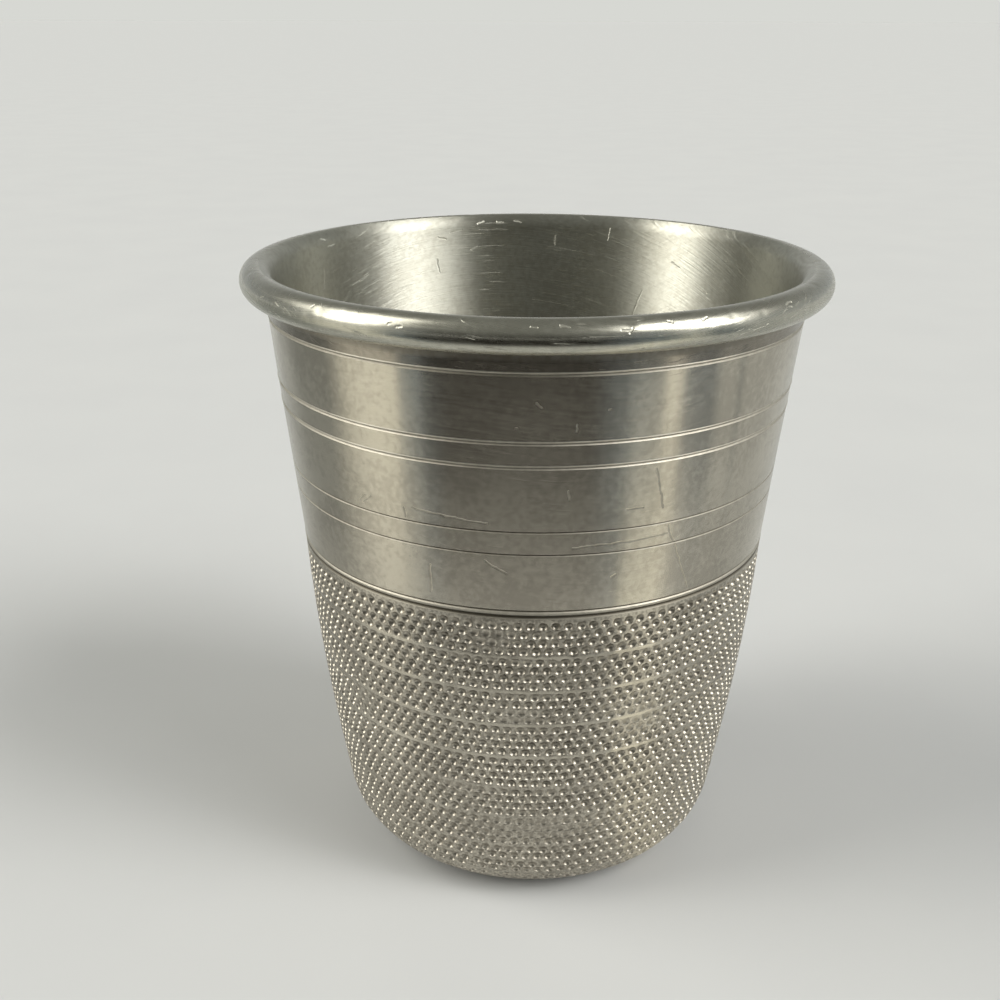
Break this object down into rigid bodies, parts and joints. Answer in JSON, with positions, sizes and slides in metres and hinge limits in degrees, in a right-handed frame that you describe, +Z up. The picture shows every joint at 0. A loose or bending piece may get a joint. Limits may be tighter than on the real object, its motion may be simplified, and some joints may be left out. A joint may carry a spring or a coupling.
{
  "type": "pewter shot cup",
  "caption": "Small tapered pewter shot cup in thimble form, with a wired rolled lip, scribed lines, a dimpled lower wall and a soldered-in base.",
  "frame": {"origin": "centre of the foot, on the surface that the cup stands on", "axes": "+Z up along the cup's axis; X and Y are equal, because the cup is round"},
  "size_m": [0.052, 0.052, 0.0565],
  "materials": {
    "pewter": "spun and hand-worn pewter, satin",
    "wire": "drawn pewter wire",
    "solder": "soft solder, as it flowed"
  },
  "bodies": {
    "root": {"cup_wall": "pewter", "rim_wire": "wire", "base_disc": "pewter", "base_solder": "solder"}
  },
  "joints": []
}
